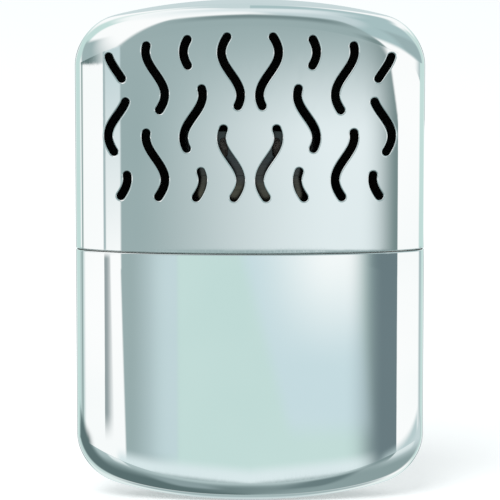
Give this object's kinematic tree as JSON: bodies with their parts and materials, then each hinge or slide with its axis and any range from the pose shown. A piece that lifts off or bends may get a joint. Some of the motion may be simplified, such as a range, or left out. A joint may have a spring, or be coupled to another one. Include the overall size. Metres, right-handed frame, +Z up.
{
  "type": "catalytic hand warmer",
  "caption": "Flat oval pocket warmer: vented metal cover that lifts off a collared fuel tank, with a clip-on catalytic burner over a felt wick and cotton wadding.",
  "frame": {"origin": "under the middle of the flat foot, on the surface that the closed warmer stands on", "axes": "+Z up through the cover, +X to the right as seen from the front, front (vented) face towards -Y"},
  "size_m": [0.0696, 0.015, 0.1],
  "materials": {
    "chrome_plate": "bright chrome plating on drawn brass",
    "nickel_plate": "satin nickel plating",
    "solder": "dull soft solder",
    "wire_gauze": "woven stainless wire",
    "spring_steel": "bright spring strip",
    "felt": "dense natural felt",
    "cotton": "loose cotton wadding",
    "glass_fibre": "glass fibre with a dark metal coating"
  },
  "bodies": {
    "tank": {"tank_shell": "chrome_plate", "tank_collar": "nickel_plate", "collar_solder": "solder", "top_plate": "nickel_plate", "plate_solder": "solder", "filler_neck": "nickel_plate", "neck_solder": "solder", "neck_screen": "wire_gauze", "screen_ring": "nickel_plate", "wick_pad": "felt", "cotton_wadding": "cotton"},
    "cover": {"vented_cover": "chrome_plate"},
    "burner": {"burner_skirt": "nickel_plate", "front_grip_spring": "spring_steel", "rear_grip_spring": "spring_steel", "burner_baffle": "nickel_plate", "lower_gauze": "wire_gauze", "catalyst_mat": "glass_fibre", "upper_gauze": "wire_gauze", "burner_hood": "nickel_plate", "hood_rivets": "nickel_plate"}
  },
  "joints": [
    {"name": "cover_lift", "type": "slide", "parent": "tank", "child": "cover", "axis": [0, 0, 1], "range_m": [0, 0.06]},
    {"name": "burner_lift", "type": "slide", "parent": "tank", "child": "burner", "axis": [0, 0, 1], "range_m": [0, 0.022]}
  ]
}
